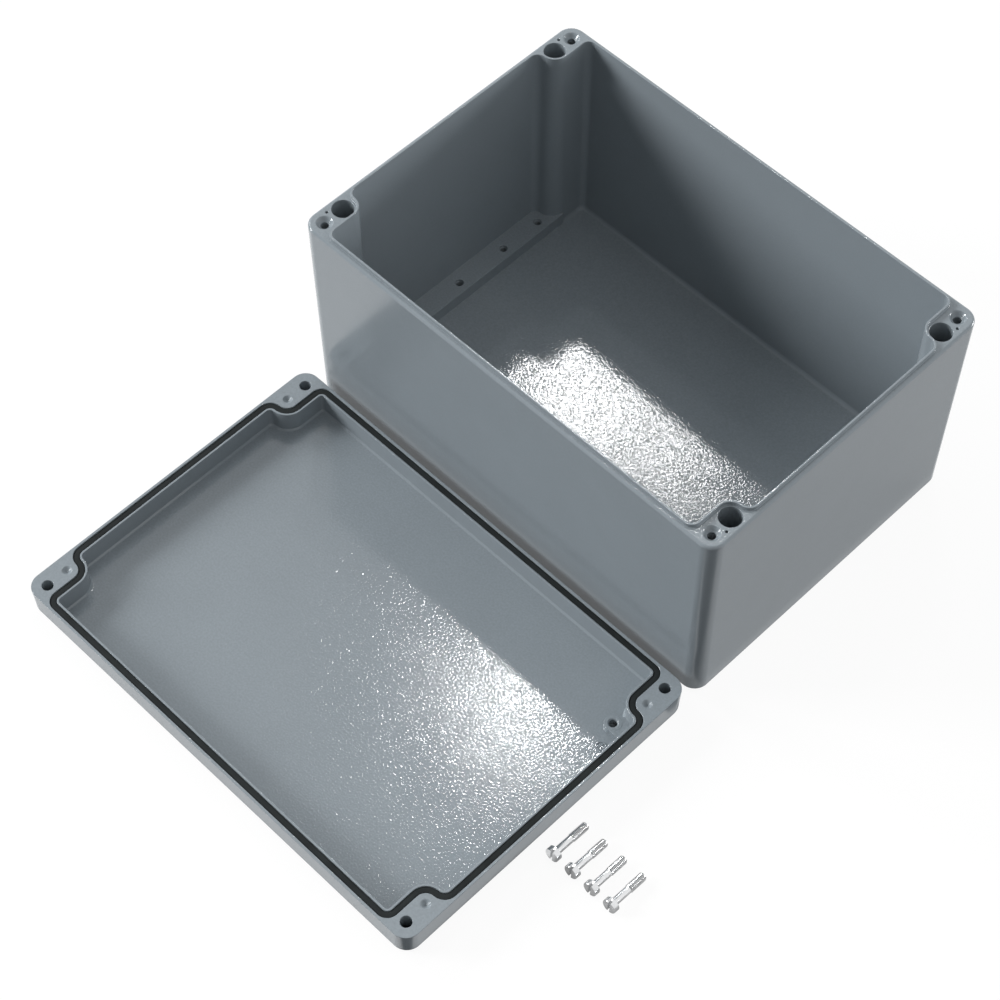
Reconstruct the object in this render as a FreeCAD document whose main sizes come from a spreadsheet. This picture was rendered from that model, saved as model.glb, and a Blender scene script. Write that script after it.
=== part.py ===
"""Die cast aluminium box, open, with its lid laid upside down in front of it.

Frame: millimetres, +Z up, origin at the centre of the box's underside. X runs along the
long side and Y along the short side. The lid lies on its outer face at -Y, and its four
screws lie in a row at the lid's +X end.
"""
import FreeCAD, Part
import math
import os
import Sketcher

Vector = FreeCAD.Vector
Z_UP = Vector(0, 0, 1)

doc = FreeCAD.newDocument("die_cast_box")

# Driving dimensions in millimetres, each with the reason for its name.
SIZES = [
    ("box_length", 330.0, "long side, over the flats of the rim"),
    ("box_width", 230.0, "short side, over the flats of the rim"),
    ("base_height", 160.0, "underside to the corner flats"),
    ("corner_radius", 10.0, "outer upright corners"),
    ("base_taper", 2.2, "how far each outer wall leans in at the underside"),
    ("rim_round", 2.0, "outer top edge of the base"),
    ("foot_chamfer", 2.0, "outer bottom edge of the base"),
    ("floor_thickness", 4.5, "floor of the base"),
    ("wall_rim", 4.6, "outer face to the inner face of the wall at the rim"),
    ("cavity_taper", 1.2, "how far the inner wall leans in at the floor"),
    ("floor_round", 3.0, "fillet between the inner wall and the floor"),
    ("tongue_width", 1.4, "raised tongue that presses into the gasket"),
    ("tongue_height", 2.6, "tongue above the corner flats"),
    ("bore_inset_x", 10.0, "wall fixing bore from the short side's outer face"),
    ("bore_inset_y", 25.0, "wall fixing bore from the long side's outer face"),
    ("bore_diameter", 13.8, "wide bore that lets a wall fixing screw's head down"),
    ("bore_wall", 2.7, "metal round the bore, tongue included"),
    ("fixing_diameter", 6.6, "clearance hole for the wall fixing screw"),
    ("fixing_web", 8.0, "metal left under the wide bore"),
    ("pocket_radius", 5.0, "inner corner between the long wall and a pillar"),
    ("blend_radius", 6.0, "hollow that runs a pillar into the short wall"),
    ("screw_inset", 10.0, "lid screw from both outer faces"),
    ("thread_core", 5.0, "core of the lid screw's thread in the base"),
    ("thread_depth", 26.0, "depth of that hole below the flat"),
    ("funnel_diameter", 10.4, "mouth of the funnel over the thread"),
    ("funnel_depth", 3.4, "depth of the funnel"),
    ("rail_inset", 22.0, "inner face of the mounting rail, from the short side's outer face"),
    ("rail_top", 14.0, "top of the mounting rail above the underside"),
    ("rail_hole_inset", 14.7, "rail threads, from the short side's outer face"),
    ("rail_hole_mid", 40.5, "inner pair of rail threads, from the middle"),
    ("rail_hole_far", 72.5, "outer pair of rail threads, from the middle"),
    ("rail_core", 4.2, "core of the rail threads"),
    ("rail_hole_depth", 9.0, "depth of the rail threads"),
    ("lid_height", 20.0, "outer face of the lid to its corner flats"),
    ("lid_taper", 0.75, "how far the lid's side leans in at its outer face"),
    ("lid_chamfer", 2.0, "outer edge of the lid's face"),
    ("lid_thickness", 4.0, "face of the lid"),
    ("lid_floor_chamfer", 1.2, "between the lid's inner wall and its face"),
    ("groove_depth", 4.2, "gasket groove below the lid's flats"),
    ("groove_outer", 1.4, "groove beyond the tongue, on its outer side"),
    ("groove_inner", 1.4, "groove beyond the tongue, on its inner side"),
    ("rib_width", 1.4, "rib between the groove and the lid's hollow"),
    ("gasket_thickness", 3.6, "gasket from the groove's floor up"),
    ("gasket_clearance", 0.05, "gasket from each side of its groove"),
    ("lid_hole_diameter", 7.2, "lid screw's hole in the lid"),
    ("lid_sink_diameter", 10.6, "counterbore for the screw's head, in the lid's face"),
    ("lid_sink_depth", 8.0, "depth of that counterbore"),
    ("earth_inset_x", 19.5, "earth boss from the lid's short side"),
    ("earth_inset_y", 43.3, "earth boss from the lid's long side"),
    ("earth_boss_diameter", 11.0, "earth boss in the lid"),
    ("earth_boss_top", 8.5, "top of the earth boss above the lid's outer face"),
    ("earth_core", 5.0, "core of the earth thread"),
    ("earth_depth", 6.5, "depth of the earth thread"),
    ("lid_shift_x", -1.5, "lid's middle from the base's"),
    ("lid_gap", 5.3, "gap between the base and the lid that lies before it"),
    ("screw_length", 25.0, "lid screw under its head"),
    ("screw_diameter", 5.9, "over the thread's crests"),
    ("neck_diameter", 4.7, "plain neck of the captive screw"),
    ("thread_length", 12.0, "threaded end of the screw"),
    ("head_diameter", 9.4, "cheese head"),
    ("head_height", 4.0, "cheese head"),
    ("slot_width", 1.6, "slot in the head"),
    ("slot_depth", 1.9, "slot in the head"),
    ("screw_row_x", 12.2, "first screw from the base's long side's end"),
    ("screw_row_y", -245.0, "underside of the screws' heads"),
    ("screw_pitch", 15.0, "screws in the row"),
]

sizes = doc.addObject("Spreadsheet::Sheet", "sizes")
for row, (alias, value, note) in enumerate(SIZES, start=1):
    sizes.set(f"A{row}", alias.replace("_", " "))
    sizes.set(f"B{row}", str(value))
    sizes.set(f"C{row}", note)
    sizes.setAlias(f"B{row}", alias)
doc.recompute()


def size(alias):
    """Value of one driving dimension."""
    return float(sizes.get(alias))


def bind(item, **bound):
    """Ties properties of an object to cells, as in bind(pad, Length="sizes.base_height")."""
    for name, formula in bound.items():
        item.setExpression(name, formula)


def new_body(name):
    body = doc.addObject("PartDesign::Body", name)
    body.Label = name
    return body


def plane_sketch(body, name, height="0", plane="XY_Plane"):
    """Sketch on one of the body's own planes, raised by a formula of cells."""
    sketch = body.newObject("Sketcher::SketchObject", name)
    origin = next(item for item in body.Origin.OriginFeatures if item.Role == plane)
    sketch.AttachmentSupport = [(origin, "")]
    sketch.MapMode = "FlatFace"
    sketch.setExpression("AttachmentOffset.Base.z", height)
    return sketch


def closed_loop(sketch, corners):
    """Straight runs through the corners and back to the first."""
    places = [Vector(x, y, 0) for x, y in corners]
    for start, stop in zip(places, places[1:] + places[:1]):
        sketch.addGeometry(Part.LineSegment(start, stop), False)


def rectangle(sketch, x1, y1, x2, y2):
    closed_loop(sketch, [(x1, y1), (x2, y1), (x2, y2), (x1, y2)])


def rim_quarter(grow):
    """Arcs of the rim's inner outline in the +X +Y quarter, grown outwards by a distance.

    Each arc is (centre, radius, first angle, last angle), met in order from the long wall:
    the pocket's corner, the convex turn round the wall fixing bore, and the hollow that
    runs into the short wall. Straight runs join them.
    """
    wall_x = size("box_length") / 2 - size("wall_rim") + grow
    wall_y = size("box_width") / 2 - size("wall_rim") + grow
    bore = Vector(
        size("box_length") / 2 - size("bore_inset_x"),
        size("box_width") / 2 - size("bore_inset_y"),
        0,
    )
    around = size("bore_diameter") / 2 + size("bore_wall") - grow
    pocket = size("pocket_radius") + grow
    blend = size("blend_radius") + grow
    pocket_centre = Vector(bore.x - around - pocket, wall_y - pocket, 0)
    across = wall_x - blend - bore.x
    down = math.sqrt((around + blend) ** 2 - across**2)
    blend_centre = Vector(wall_x - blend, bore.y - down, 0)
    meet = math.atan2(-down, across)
    return [
        (pocket_centre, pocket, math.pi / 2, 0.0),
        (bore, around, math.pi, 2 * math.pi + meet),
        (blend_centre, blend, meet + math.pi, 0.0),
    ]


def rim_outline(sketch, grow):
    """Whole inner outline of the rim, grown outwards by a distance, as one closed loop."""
    quarter = [
        [centre + Vector(math.cos(turn), math.sin(turn), 0) * radius for turn in (first, (first + last) / 2, last)]
        for centre, radius, first, last in rim_quarter(grow)
    ]
    loop = []
    for sx, sy in ((1, 1), (1, -1), (-1, -1), (-1, 1)):
        turns = [[Vector(sx * place.x, sy * place.y, 0) for place in turn] for turn in quarter]
        loop += turns if sx == sy else [turn[::-1] for turn in turns[::-1]]
    for index, turn in enumerate(loop):
        following = loop[(index + 1) % len(loop)][0]
        sketch.addGeometry(Part.Arc(*turn), False)
        if (following - turn[-1]).Length > 1e-6:
            sketch.addGeometry(Part.LineSegment(turn[-1], following), False)


def circles(sketch, points, cell):
    """Circles of one diameter at places written as formulas of cells."""
    for place, (x, y) in enumerate(points):
        key = sketch.addGeometry(Part.Circle(Vector(1 + place, 1, 0), Z_UP, 1), False)
        for rule, formula in (("Distance_X", x), ("Distance_Y", y)):
            kind = rule.replace("_", "")
            index = sketch.addConstraint(Sketcher.Constraint(kind, -1, 1, key, 3, 1.0))
            sketch.setExpression(f"Constraints[{index}]", formula)
        index = sketch.addConstraint(Sketcher.Constraint("Diameter", key, 2.0))
        sketch.setExpression(f"Constraints[{index}]", f"sizes.{cell}")


def corners_of(inset_x, inset_y):
    """The four places at one inset from each outer face, as formulas of cells."""
    x = f"(sizes.box_length / 2 - sizes.{inset_x})"
    y = f"(sizes.box_width / 2 - sizes.{inset_y})"
    return [(f"{sx} * {x}", f"{sy} * {y}") for sx in (1, -1) for sy in (1, -1)]


def pad(body, name, sketch, length):
    item = body.newObject("PartDesign::Pad", name)
    item.Profile = sketch
    bind(item, Length=length)
    doc.recompute()
    return item


def pocket(body, name, sketch, depth, upwards=False):
    """Cuts from the sketch down, or up where it starts on the outer side."""
    before = body.Shape.Volume
    item = body.newObject("PartDesign::Pocket", name)
    item.Profile = sketch
    item.Reversed = upwards
    bind(item, Length=depth)
    doc.recompute()
    if body.Shape.Volume > before - 1e-3:
        raise RuntimeError(f"{name} cuts nothing")
    return item


def edges_at(shape, height, outside):
    """Names of the level edges at one height, on the outer or on the inner outline."""
    limit = size("box_length") / 2 - size("wall_rim") / 2, size("box_width") / 2 - size("wall_rim") / 2
    names = []
    for number, edge in enumerate(shape.Edges, start=1):
        box = edge.BoundBox
        if abs(box.ZMin - height) > 1e-3 or abs(box.ZMax - height) > 1e-3:
            continue
        middle = edge.valueAt((edge.FirstParameter + edge.LastParameter) / 2)
        on_outside = abs(middle.x) > limit[0] or abs(middle.y) > limit[1]
        corner = abs(middle.x) > limit[0] - size("corner_radius") and (
            abs(middle.y) > limit[1] - size("corner_radius")
        )
        if (on_outside or corner) == outside:
            names.append(f"Edge{number}")
    return names


def edges_up_to(shape, corner, level):
    """Names of the edges that run up to one corner of each quarter at a level."""
    names = []
    for number, edge in enumerate(shape.Edges, start=1):
        ends = [vertex.Point for vertex in edge.Vertexes if abs(vertex.Z - level) < 1e-3]
        if len(ends) == 1 and (Vector(abs(ends[0].x), abs(ends[0].y), 0) - corner).Length < 1e-3:
            names.append(f"Edge{number}")
    return names


def round_edges(body, name, base, names, cell):
    item = body.newObject("PartDesign::Fillet", name)
    item.Base = (base, names)
    bind(item, Radius=f"sizes.{cell}")
    doc.recompute()
    return item


def chamfer_edges(body, name, base, names, cell):
    item = body.newObject("PartDesign::Chamfer", name)
    item.Base = (base, names)
    bind(item, Size=f"sizes.{cell}")
    doc.recompute()
    return item


def lean_walls(body, name, base, low, high, taper, inwards):
    """Draws the walls between two levels, which keep their outline at the upper one."""
    level, walls = [], []
    for number, face in enumerate(base.Shape.Faces, start=1):
        box = face.BoundBox
        if abs(box.ZMin - high) < 1e-3:
            level.append(f"Face{number}")
        elif abs(box.ZMin - low) < 1e-3 and abs(box.ZMax - high) < 1e-3:
            walls.append(f"Face{number}")
    item = body.newObject("PartDesign::Draft", name)
    item.Base = (base, walls)
    item.NeutralPlane = (base, level[:1])
    item.Reversed = inwards
    bind(item, Angle=taper)
    doc.recompute()
    return item


def tapered_block(body, name, height, taper):
    """Outer form: full at its rim and narrower at z = 0, the way it left the die."""
    half_x, half_y = size("box_length") / 2, size("box_width") / 2
    outline = plane_sketch(body, f"{name}_outline")
    rectangle(outline, -half_x, -half_y, half_x, half_y)
    block = pad(body, name, outline, f"sizes.{height}")
    lean = f"atan(sizes.{taper} / sizes.{height})"
    drawn = lean_walls(body, f"{name}_draw", block, 0.0, size(height), lean, True)
    upright = edges_up_to(drawn.Shape, Vector(half_x, half_y, 0), size(height))
    return round_edges(body, f"{name}_corners", drawn, upright, "corner_radius")


def make_base():
    """Base casting: walls, four pillars, rim with its tongue, floor and two rails."""
    body = new_body("base_box")
    block = tapered_block(body, "outer_form", "base_height", "base_taper")
    foot = chamfer_edges(body, "foot_edge", block, edges_at(block.Shape, 0, True), "foot_chamfer")
    rim_edges = edges_at(foot.Shape, size("base_height"), True)
    round_edges(body, "rim_edge", foot, rim_edges, "rim_round")

    plate = plane_sketch(body, "tongue_outline", "sizes.base_height")
    rim_outline(plate, size("tongue_width"))
    pad(body, "tongue", plate, "sizes.tongue_height")

    mouth = "sizes.base_height + sizes.tongue_height"
    level = size("base_height") + size("tongue_height")
    outline = plane_sketch(body, "cavity_mouth", mouth)
    rim_outline(outline, 0.0)
    well = pocket(body, "cavity", outline, f"{mouth} - sizes.floor_thickness")
    lean = f"atan(sizes.cavity_taper / ({mouth} - sizes.floor_thickness))"
    cavity = lean_walls(body, "cavity_draw", well, size("floor_thickness"), level, lean, False)
    floor_edges = edges_at(cavity.Shape, size("floor_thickness"), False)
    round_edges(body, "floor_edge", cavity, floor_edges, "floor_round")

    rails = plane_sketch(body, "rail_outline", "sizes.floor_thickness - sizes.floor_round / 2")
    outer = size("box_length") / 2 - size("wall_rim") + size("tongue_width") / 2
    inner = size("box_length") / 2 - size("rail_inset")
    end = size("box_width") / 2 - size("bore_inset_y")
    for side in (1, -1):
        rectangle(rails, side * inner, -end, side * outer, end)
    rise = "sizes.rail_top - sizes.floor_thickness + sizes.floor_round / 2"
    pad(body, "mounting_rails", rails, rise)

    fixing = corners_of("bore_inset_x", "bore_inset_y")
    bores = plane_sketch(body, "bore_circles", "sizes.base_height")
    circles(bores, fixing, "bore_diameter")
    pocket(body, "wall_fixing_bores", bores, "sizes.base_height - sizes.fixing_web")
    holes = plane_sketch(body, "fixing_circles", "sizes.base_height")
    circles(holes, fixing, "fixing_diameter")
    pocket(body, "wall_fixing_holes", holes, "sizes.base_height + 1")

    screws = corners_of("screw_inset", "screw_inset")
    cores = plane_sketch(body, "thread_circles", "sizes.base_height")
    circles(cores, screws, "thread_core")
    pocket(body, "lid_threads", cores, "sizes.thread_depth")
    for number, (x, y) in enumerate(screws, start=1):
        cone = body.newObject("PartDesign::SubtractiveCone", f"funnel_{number}")
        bind(cone, Radius1="sizes.thread_core / 2", Radius2="sizes.funnel_diameter / 2")
        bind(cone, Height="sizes.funnel_depth")
        place_cone(cone, x, y, "sizes.base_height - sizes.funnel_depth")

    rows = ["0"] + [f"{sign} * sizes.{cell}" for cell in ("rail_hole_mid", "rail_hole_far") for sign in (1, -1)]
    column = "(sizes.box_length / 2 - sizes.rail_hole_inset)"
    threads = [(f"{side} * {column}", row) for side in (1, -1) for row in rows]
    taps = plane_sketch(body, "rail_circles", "sizes.rail_top")
    circles(taps, threads, "rail_core")
    pocket(body, "rail_threads", taps, "sizes.rail_hole_depth")
    return body


def place_cone(cone, x, y, z):
    """Stands a cone upright on its body's own frame, at formulas of cells."""
    bind(cone, **{"Placement.Base.x": x, "Placement.Base.y": y, "Placement.Base.z": z})
    doc.recompute()


def make_lid():
    """Lid casting, outer face down, with its groove, hollow, holes and earth boss."""
    body = new_body("lid")
    block = tapered_block(body, "lid_form", "lid_height", "lid_taper")
    chamfer_edges(body, "face_edge", block, edges_at(block.Shape, 0, True), "lid_chamfer")

    well = plane_sketch(body, "lid_hollow_outline", "sizes.lid_height")
    rim_outline(well, -size("groove_inner") - size("rib_width"))
    inside = pocket(body, "lid_hollow", well, "sizes.lid_height - sizes.lid_thickness")
    floor_edges = edges_at(inside.Shape, size("lid_thickness"), False)
    chamfer_edges(body, "hollow_edge", inside, floor_edges, "lid_floor_chamfer")

    groove = plane_sketch(body, "groove_outline", "sizes.lid_height")
    rim_outline(groove, size("tongue_width") + size("groove_outer"))
    rim_outline(groove, -size("groove_inner"))
    pocket(body, "gasket_groove", groove, "sizes.groove_depth")

    boss = plane_sketch(body, "earth_outline", "sizes.lid_thickness - sizes.lid_thickness / 4")
    earth = corners_of("earth_inset_x", "earth_inset_y")[:1]
    circles(boss, earth, "earth_boss_diameter")
    pad(body, "earth_boss", boss, "sizes.earth_boss_top - sizes.lid_thickness * 3 / 4")
    tap = plane_sketch(body, "earth_circle", "sizes.earth_boss_top")
    circles(tap, earth, "earth_core")
    pocket(body, "earth_thread", tap, "sizes.earth_depth")

    screws = corners_of("screw_inset", "screw_inset")
    holes = plane_sketch(body, "lid_hole_circles", "sizes.lid_height")
    circles(holes, screws, "lid_hole_diameter")
    pocket(body, "lid_holes", holes, "sizes.lid_height + 1")
    sinks = plane_sketch(body, "lid_sink_circles")
    circles(sinks, screws, "lid_sink_diameter")
    pocket(body, "lid_sinks", sinks, "sizes.lid_sink_depth", upwards=True)
    lay_with_lid(body, "0")
    return body


def lay_with_lid(body, height):
    """Places a piece of the lid where the lid lies, in front of the base."""
    bind(body, **{"Placement.Base.x": "sizes.lid_shift_x"})
    bind(body, **{"Placement.Base.y": "-(sizes.box_width + sizes.lid_gap)"})
    bind(body, **{"Placement.Base.z": height})


def make_gasket():
    """Endless gasket, laid in the lid's groove."""
    body = new_body("lid_gasket")
    ring = plane_sketch(body, "gasket_outline")
    clear = size("gasket_clearance")
    rim_outline(ring, size("tongue_width") + size("groove_outer") - clear)
    rim_outline(ring, clear - size("groove_inner"))
    pad(body, "gasket_strip", ring, "sizes.gasket_thickness")
    lay_with_lid(body, "sizes.lid_height - sizes.groove_depth")
    return body


def screw_profile(sketch):
    """Half section of the screw, its axis upright: head, waisted neck and threaded end."""
    head, neck, thread = (size(cell) / 2 for cell in ("head_diameter", "neck_diameter", "screw_diameter"))
    end = size("screw_length")
    start = end - size("thread_length")
    top = -size("head_height")
    profile = [(0, top), (head, top), (head, 0), (neck, 0), (neck, start), (thread, start), (thread, end), (0, end)]
    closed_loop(sketch, profile)


def make_screw(number):
    """Captive lid screw, lying with its head's rim and its thread's end on the ground."""
    body = new_body(f"lid_screw_{number}")
    half = plane_sketch(body, f"screw_section_{number}", plane="XZ_Plane")
    screw_profile(half)
    turned = body.newObject("PartDesign::Revolution", f"screw_turned_{number}")
    turned.Profile = half
    turned.ReferenceAxis = (half, ["V_Axis"])
    turned.Angle = 360
    doc.recompute()
    slot = plane_sketch(body, f"screw_slot_{number}", "-sizes.head_height")
    reach, half_slot = size("head_diameter"), size("slot_width") / 2
    rectangle(slot, -half_slot, -reach, half_slot, reach)
    pocket(body, f"slot_{number}", slot, "sizes.slot_depth", upwards=True)

    head, thread = size("head_diameter") / 2, size("screw_diameter") / 2
    tilt = math.atan2(head - thread, size("screw_length"))
    along = size("box_length") / 2 + size("screw_row_x") + (number - 1) * size("screw_pitch")
    lying = FreeCAD.Rotation(Vector(1, 0, 0), -90 - math.degrees(tilt))
    place = Vector(along, size("screw_row_y"), head * math.cos(tilt))
    body.Placement = FreeCAD.Placement(place, lying)
    return body


bodies = [make_base(), make_lid(), make_gasket()]
bodies += [make_screw(number) for number in range(1, 5)]
doc.recompute()

for item in doc.Objects:
    if "Invalid" in item.State or "Error" in item.State:
        raise RuntimeError(f"{item.Name} failed: {item.State}")
for body in bodies:
    if body.Shape.isNull() or not body.Shape.isValid() or len(body.Shape.Solids) != 1:
        raise RuntimeError(f"{body.Label} has no valid single solid")

os.makedirs("parts", exist_ok=True)
for body in bodies:
    body.Shape.exportStep(f"parts/{body.Label}.step")
    box = body.Shape.BoundBox
    corner = (round(box.XMin, 2), round(box.YMin, 2), round(box.ZMin, 2))
    far = (round(box.XMax, 2), round(box.YMax, 2), round(box.ZMax, 2))
    print(body.Label, corner, far, round(body.Shape.Volume))
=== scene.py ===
"""Open die cast aluminium box: base casting, lid casting, gasket and captive screws."""

import math

import bmesh
import bpy
from mathutils import Matrix, Quaternion, Vector


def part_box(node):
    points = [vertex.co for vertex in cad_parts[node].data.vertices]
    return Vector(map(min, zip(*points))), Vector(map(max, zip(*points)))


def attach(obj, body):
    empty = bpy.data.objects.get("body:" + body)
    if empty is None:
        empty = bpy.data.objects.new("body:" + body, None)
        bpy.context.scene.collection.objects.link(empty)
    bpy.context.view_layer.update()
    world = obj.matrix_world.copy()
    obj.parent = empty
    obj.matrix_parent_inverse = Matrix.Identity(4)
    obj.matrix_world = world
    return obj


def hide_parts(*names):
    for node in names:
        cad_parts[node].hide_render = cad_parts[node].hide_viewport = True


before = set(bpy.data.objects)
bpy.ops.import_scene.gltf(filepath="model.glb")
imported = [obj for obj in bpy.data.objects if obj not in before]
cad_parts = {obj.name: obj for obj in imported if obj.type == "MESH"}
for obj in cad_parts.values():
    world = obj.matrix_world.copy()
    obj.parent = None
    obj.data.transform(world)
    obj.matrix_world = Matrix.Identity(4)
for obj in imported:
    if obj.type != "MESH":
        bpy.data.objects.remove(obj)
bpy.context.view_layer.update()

bl_info = {
    "name": "Die cast aluminium box",
    "version": (1, 0, 0),
    "blender": (4, 5, 0),
    "location": "3D View > Sidebar > Box",
    "description": "Finishes the castings, gasket and screws of an open die cast box",
    "category": "Object",
}

MM = 0.001
CORNERS = ((1, 1), (1, -1), (-1, 1), (-1, -1))
WHITE = (1, 1, 1, 1)


def length(name, description, millimetres):
    """Property that holds a length."""
    return bpy.props.FloatProperty(
        name=name,
        description=description,
        default=millimetres * MM,
        min=0.0,
        unit="LENGTH",
        subtype="DISTANCE",
        precision=5,
    )


def colour(name, description, red, green, blue):
    """Property that holds a colour."""
    return bpy.props.FloatVectorProperty(
        name=name,
        description=description,
        default=(red, green, blue),
        min=0.0,
        max=1.0,
        size=3,
        subtype="COLOR",
    )


def number(name, description, value, high, unit="NONE"):
    """Property that holds a number from 0 upwards."""
    return bpy.props.FloatProperty(
        name=name, description=description, default=value, min=0.0, max=high, unit=unit
    )


# Sizes, colours and light levels


class CastingSizes(bpy.types.PropertyGroup):
    """Fine forms of the two castings."""

    lip_radius: length("Lip radius", "Rounding of every cast and machined lip", 0.32)
    screw_inset: length("Screw inset", "From the outer faces to a lid screw's axis", 10)
    bore_inset: length("Bore inset", "From the long faces to a wall fixing bore's axis", 25)
    mark_inset_x: length("Pin mark inset along", "From the short faces to an ejector pin mark", 5)
    mark_inset_y: length(
        "Pin mark inset across", "From the long faces to an ejector pin mark", 16.4
    )
    mark_radius: length("Pin mark radius", "Radius of an ejector pin mark", 0.9)
    mark_depth: length("Pin mark depth", "Depth of an ejector pin mark", 6)
    rail_row: length("Rail thread row", "From the middle to a row of rail threads", 150.3)
    rail_sink: length("Rail sink radius", "Mouth radius of a rail thread's counterbore", 2.75)
    rail_top: length("Rail top", "Height of the mounting rails", 14)
    dimple_mouth: length("Dimple mouth", "Mouth radius of the conical dimples in the lid", 3.05)
    dimple_depth: length("Dimple depth", "Depth of the conical dimples in the lid", 2.1)
    earth_x: length("Earth thread along", "Earth thread's place along the lid", 145.5)
    earth_y: length("Earth thread across", "Earth thread's place across the lid", 71.7)
    earth_top: length("Earth boss top", "Height of the earth boss's face", 8.5)


class ThreadSizes(bpy.types.PropertyGroup):
    """Internal threads of the castings."""

    lid_pitch: length("Lid thread pitch", "Pitch of the lid screws' threads", 1.0)
    lid_root: length("Lid thread root", "Root radius of the lid screws' threads", 3.0)
    rail_pitch: length("Rail thread pitch", "Pitch of the rail threads", 0.8)
    rail_root: length("Rail thread root", "Root radius of the rail threads", 2.5)


class GasketSizes(bpy.types.PropertyGroup):
    """Section and course of the gasket."""

    wall: length("Rim wall", "Thickness of the rim along the straight walls", 4.6)
    bore_inset_x: length(
        "Bore inset along", "From the short faces to a wall fixing bore's axis", 10
    )
    bore_cover: length(
        "Metal round bore", "From a wall fixing bore's axis to the rim's outline", 9.6
    )
    pocket: length("Pocket radius", "Radius of the outline's pocket corners", 5)
    hollow: length("Hollow radius", "Radius with which the outline runs into the short walls", 6)
    middle: length("Middle of the section", "From the outline to the middle of the gasket", 0.7)
    width: length("Gasket width", "Width of the rubber section", 4.1)
    height: length("Gasket height", "Height of the rubber section", 3.6)
    corner: length("Gasket corner", "Rounding of the rubber section", 0.7)
    base: length("Gasket seat", "Height of the groove's floor", 15.8)


class ScrewSizes(bpy.types.PropertyGroup):
    """Captive cheese head screws."""

    head_radius: length("Head radius", "Radius of the cheese head", 4.7)
    head_height: length("Head height", "Height of the cheese head", 4)
    neck_radius: length("Neck radius", "Radius of the waisted neck", 2.35)
    crest_radius: length("Crest radius", "Outer radius of the thread", 2.95)
    root_radius: length("Root radius", "Root radius of the thread", 2.42)
    thread_length: length("Thread length", "Length of the threaded end", 12)
    shank_length: length("Shank length", "From under the head to the end", 25)
    pitch: length("Thread pitch", "Pitch of the thread", 1.0)
    slot_width: length("Slot width", "Width of the driving slot", 1.6)
    slot_depth: length("Slot depth", "Depth of the driving slot", 1.9)


class FinishColours(bpy.types.PropertyGroup):
    """Colours of the finishes."""

    casting: colour("Painted casting", "Stoved grey paint of the castings", 0.225, 0.258, 0.282)
    rubber: colour("Gasket rubber", "Black rubber of the gasket", 0.011, 0.0135, 0.014)
    steel: colour("Screw steel", "Plated steel of the screws", 0.90, 0.91, 0.92)


class StageLevels(bpy.types.PropertyGroup):
    """Light and camera."""

    surround: number("Surround", "Brightness of the studio round the object", 0.85, 4)
    back: number("Back softboxes", "Power that the softboxes behind share", 128, 4000, "POWER")
    left: number("Left softbox", "Power of the softbox on the left", 820, 4000, "POWER")
    right: number("Right softbox", "Power of the softbox on the right", 340, 4000, "POWER")
    fill: number("Fill softbox", "Power of the softbox behind on the left", 340, 4000, "POWER")
    lens: number("Lens", "Focal length for a 36 mm wide sensor", 96.262, 400, "CAMERA")


# Meshes


def plain_object(name, mesh):
    """Object in the scene that shows a mesh."""
    piece = bpy.data.objects.new(name, mesh)
    bpy.context.scene.collection.objects.link(piece)
    return piece


def points_object(name, places, edges=()):
    """Object whose mesh is points, with or without edges between them."""
    mesh = bpy.data.meshes.new(name)
    mesh.from_pydata([tuple(place) for place in places], edges, [])
    return plain_object(name, mesh)


def settle(piece):
    """Swaps a piece's live modifiers for the plain mesh that they make."""
    graph = bpy.context.evaluated_depsgraph_get()
    made = bpy.data.meshes.new_from_object(piece.evaluated_get(graph), depsgraph=graph)
    worn_out = piece.data
    piece.modifiers.clear()
    piece.data = made
    bpy.data.meshes.remove(worn_out)
    made.name = piece.name


def discard(piece):
    """Removes a helper object and its mesh."""
    mesh = piece.data
    bpy.data.objects.remove(piece)
    bpy.data.meshes.remove(mesh)


def add_ring(skin, spot, radius, height, segments):
    """Adds a ring of points round the upright axis through a spot to a mesh being built."""
    place = Matrix.Translation(spot)
    ring = []
    for count in range(segments):
        angle = 2 * math.pi * count / segments
        point = Vector((radius * math.cos(angle), radius * math.sin(angle), height))
        ring.append(skin.verts.new(place @ point))
    return ring


def join_rings(skin, first, second):
    """Adds the faces between two rings that have as many points as each other."""
    for corners in zip(first, first[1:] + first[:1], second[1:] + second[:1], second):
        skin.faces.new(corners)


def turn_profile(skin, profile, spot, segments):
    """Adds a closed turned form at a spot; its profile is (radius, height) pairs, upwards."""
    rings = [add_ring(skin, spot, radius, height, segments) for radius, height in profile]
    for lower, upper in zip(rings, rings[1:]):
        join_rings(skin, lower, upper)
    skin.faces.new(rings[0][::-1])
    skin.faces.new(rings[-1])


def add_block(skin, low, high, spot):
    """Adds a closed block at a spot to a mesh being built."""
    place = Matrix.Translation(spot)
    xs, ys, zs = zip(low, high)
    corners = [skin.verts.new(place @ Vector((x, y, z))) for x in xs for y in ys for z in zs]
    for face in (
        (0, 2, 6, 4),
        (1, 5, 7, 3),
        (0, 4, 5, 1),
        (2, 3, 7, 6),
        (0, 1, 3, 2),
        (4, 6, 7, 5),
    ):
        skin.faces.new([corners[index] for index in face])


def mesh_from(skin, name):
    """Mesh made of a finished bmesh."""
    mesh = bpy.data.meshes.new(name)
    skin.to_mesh(mesh)
    skin.free()
    return mesh


def outward_mesh(skin, name):
    """Mesh made of a finished bmesh, with its faces turned outwards."""
    bmesh.ops.recalc_face_normals(skin, faces=skin.faces)
    return mesh_from(skin, name)


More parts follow.
